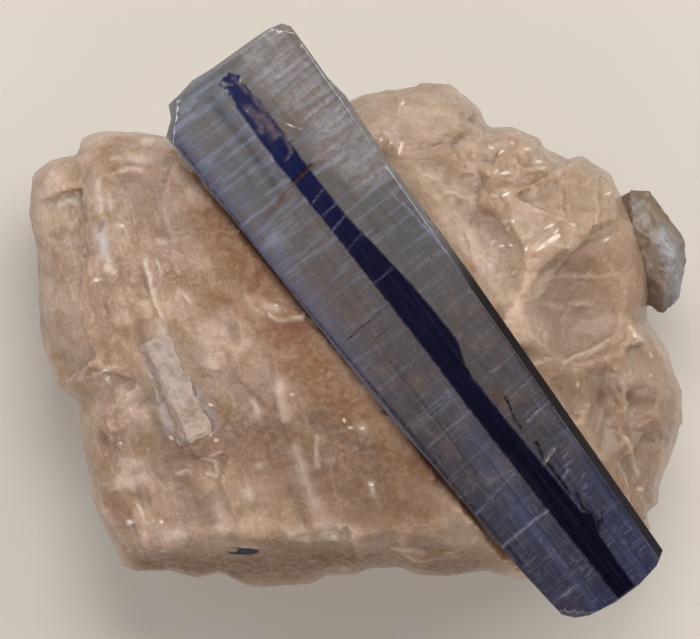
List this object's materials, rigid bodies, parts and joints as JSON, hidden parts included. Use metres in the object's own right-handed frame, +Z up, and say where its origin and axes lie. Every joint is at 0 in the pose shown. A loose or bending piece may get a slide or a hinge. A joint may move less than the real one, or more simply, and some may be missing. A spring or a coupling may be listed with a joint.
{
  "type": "kyanite blade in quartz specimen",
  "caption": "Hand specimen of a long blue kyanite blade grown across a lump of translucent quartz, with smaller pale and dark kyanite grains set in it.",
  "frame": {"origin": "middle of the bounding box in plan, on the resting face", "axes": "+Z up, out of the blade's broad face; +X along the specimen's longest side; the blade runs from -X +Y down to +X -Y"},
  "size_m": [0.0822, 0.0738, 0.0395],
  "materials": {
    "quartz": "translucent, glassy on fresh breaks",
    "kyanite": "glassy to pearly, finely striated along its length",
    "pale_kyanite": "dull, weathered"
  },
  "bodies": {
    "root": {"quartz_matrix": "quartz", "kyanite_blade": "kyanite", "pale_kyanite_stub": "pale_kyanite", "pale_kyanite_lath": "pale_kyanite", "dark_kyanite_sliver": "kyanite"}
  },
  "joints": []
}
